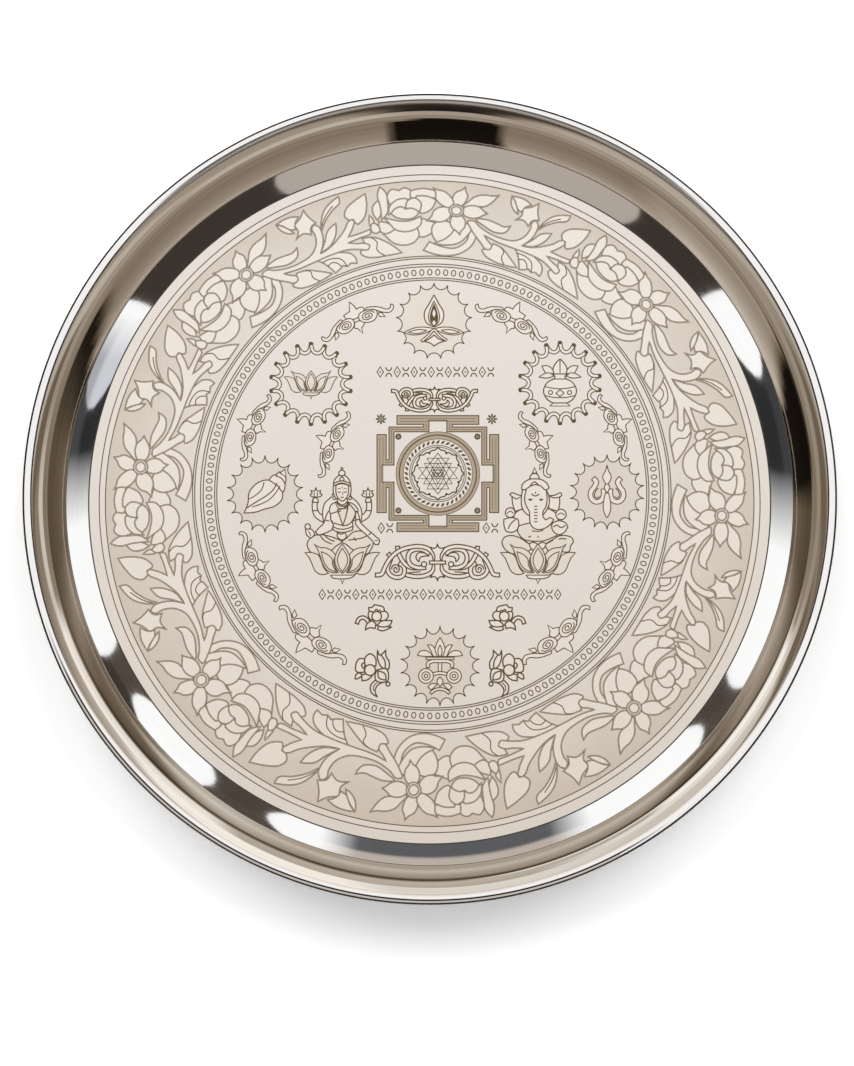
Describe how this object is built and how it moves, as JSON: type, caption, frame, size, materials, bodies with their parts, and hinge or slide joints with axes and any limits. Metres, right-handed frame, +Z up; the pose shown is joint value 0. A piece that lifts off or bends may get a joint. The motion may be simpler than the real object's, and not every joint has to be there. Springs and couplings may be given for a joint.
{
  "type": "puja thali",
  "caption": "Shallow round steel offering plate with a sloping cove, a flared wall, a rolled rim over a wire and an etched devotional design on its base.",
  "frame": {"origin": "middle of the underside of the flat base, on the table", "axes": "+Z up along the axis of the plate, +Y towards the top of the etched design"},
  "size_m": [0.3, 0.3, 0.028],
  "materials": {
    "pan_steel": "polished wall and rim, satin etched base",
    "wire_steel": "drawn wire"
  },
  "bodies": {
    "root": {"pan": "pan_steel", "rim_wire": "wire_steel"}
  },
  "joints": []
}
